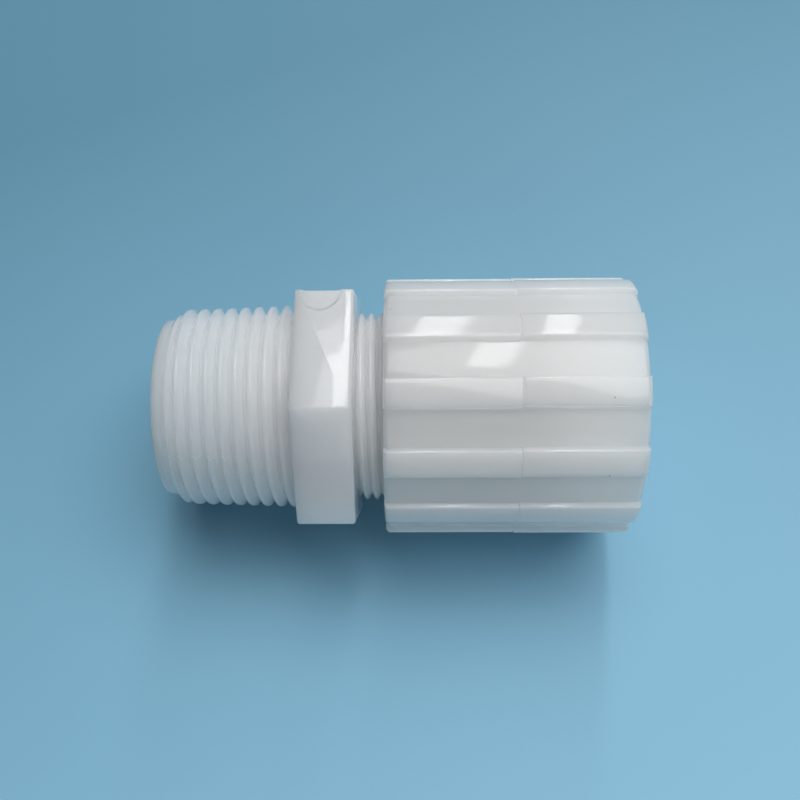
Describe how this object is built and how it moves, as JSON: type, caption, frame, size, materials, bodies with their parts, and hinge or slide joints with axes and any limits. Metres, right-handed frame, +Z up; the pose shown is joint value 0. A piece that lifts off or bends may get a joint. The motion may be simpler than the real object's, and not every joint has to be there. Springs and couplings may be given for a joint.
{
  "type": "male pipe fitting",
  "caption": "Translucent plastic straight fitting that joins a tube to a tapered pipe thread, with a hex flange and a ribbed union nut",
  "frame": {"origin": "centre of the pipe end's face, on the flow axis", "axes": "+X along the flow axis from the pipe thread to the nut, +Z up as the fitting lies on its side, +Y to the back"},
  "size_m": [0.0604, 0.0336, 0.0334],
  "materials": {
    "body_plastic": "milky translucent moulded plastic, glossy",
    "nut_plastic": "milky translucent moulded plastic, glossy, slightly warmer than the body",
    "ring_plastic": "plain white moulded plastic"
  },
  "bodies": {
    "body": {"body": "body_plastic"},
    "ring": {"grip_ring": "ring_plastic"},
    "nut": {"nut": "nut_plastic"}
  },
  "joints": [
    {"name": "ring_travel", "type": "slide", "parent": "body", "child": "ring", "axis": [1, 0, 0], "range_m": [-0.003, 0.00785]},
    {"name": "nut_turn", "type": "hinge", "parent": "ring", "child": "nut", "pos_m": [0.0446, 0, 0], "axis": [1, 0, 0], "range_deg": [-864, 2260]}
  ],
  "couplings": [
    {"joint": "ring_travel", "follows": "nut_turn", "m_per_rad": 0.00019894}
  ]
}
